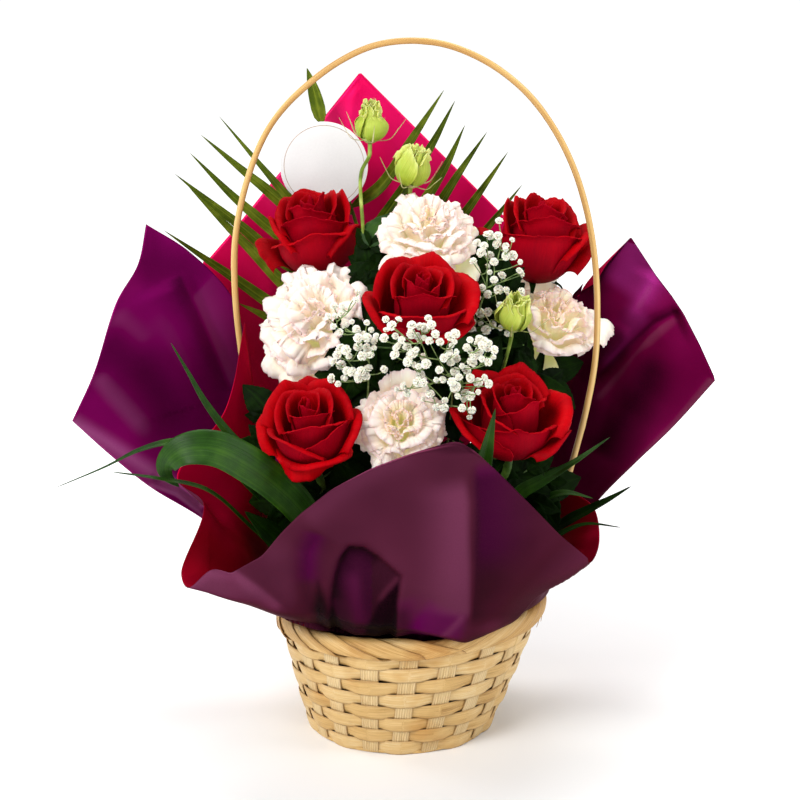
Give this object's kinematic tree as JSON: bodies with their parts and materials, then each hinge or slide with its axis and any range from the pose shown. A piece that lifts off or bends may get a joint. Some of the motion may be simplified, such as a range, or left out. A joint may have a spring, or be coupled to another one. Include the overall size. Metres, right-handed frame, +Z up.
{
  "type": "flower basket arrangement",
  "caption": "Woven bamboo basket with a hoop handle, holding roses, lisianthus, gypsophila, palm and long leaves in wet foam inside a two-tone film collar, with a round blank card on a pick.",
  "frame": {"origin": "centre of the basket's round underside, on the surface it stands on", "axes": "+Z up, through the arrangement; +X to the right and -Y to the front as the arrangement is looked at; the hoop handle lies in the X-Z plane"},
  "size_m": [0.4301, 0.2533, 0.4668],
  "materials": {
    "bamboo": "matte",
    "bamboo_rim": "matte",
    "cane": "satin",
    "liner": "satin",
    "foam": "matte",
    "film_plum": "satin",
    "film_fuchsia": "satin",
    "rose_petal": "matte",
    "lisianthus_petal": "matte",
    "bud_petal": "matte",
    "stem": "satin",
    "palm_leaf": "satin",
    "leaf": "satin",
    "leaf_dark": "satin",
    "gypsophila": "matte",
    "card": "satin",
    "pick": "matte"
  },
  "bodies": {
    "root": {"basket_wall": "bamboo", "basket_base": "bamboo", "basket_rim": "bamboo_rim", "handle_hoop": "cane", "liner": "liner", "foam_block": "foam", "wrap_front": "film_plum", "wrap_left": "film_plum", "wrap_right": "film_plum", "wrap_back": "film_fuchsia", "rose_1_bloom": "rose_petal", "rose_1_stem": "stem", "rose_2_bloom": "rose_petal", "rose_2_stem": "stem", "rose_3_bloom": "rose_petal", "rose_3_stem": "stem", "rose_4_bloom": "rose_petal", "rose_4_stem": "stem", "rose_5_bloom": "rose_petal", "rose_5_stem": "stem", "lisianthus_1_bloom": "lisianthus_petal", "lisianthus_1_stem": "stem", "lisianthus_2_bloom": "lisianthus_petal", "lisianthus_2_stem": "stem", "lisianthus_3_bloom": "lisianthus_petal", "lisianthus_3_stem": "stem", "lisianthus_4_bloom": "lisianthus_petal", "lisianthus_4_stem": "stem", "bud_1_bloom": "bud_petal", "bud_1_stem": "stem", "gypsophila_1": "gypsophila", "bud_2_bloom": "bud_petal", "bud_2_stem": "stem", "gypsophila_2": "gypsophila", "bud_3_bloom": "bud_petal", "bud_3_stem": "stem", "gypsophila_3": "gypsophila", "palm_frond": "palm_leaf", "leaf_arched": "leaf", "leaf_upright_left": "leaf", "leaf_long_left": "leaf", "leaf_low_left": "leaf", "leaf_front": "leaf", "leaf_right_1": "leaf", "leaf_right_2": "leaf", "leaf_right_3": "leaf_dark", "leaf_right_4": "leaf_dark", "leaf_filler_left": "leaf_dark", "leaf_filler_centre": "leaf_dark", "leaf_filler_right": "leaf_dark", "card": "card", "card_pick": "pick"}
  },
  "joints": []
}
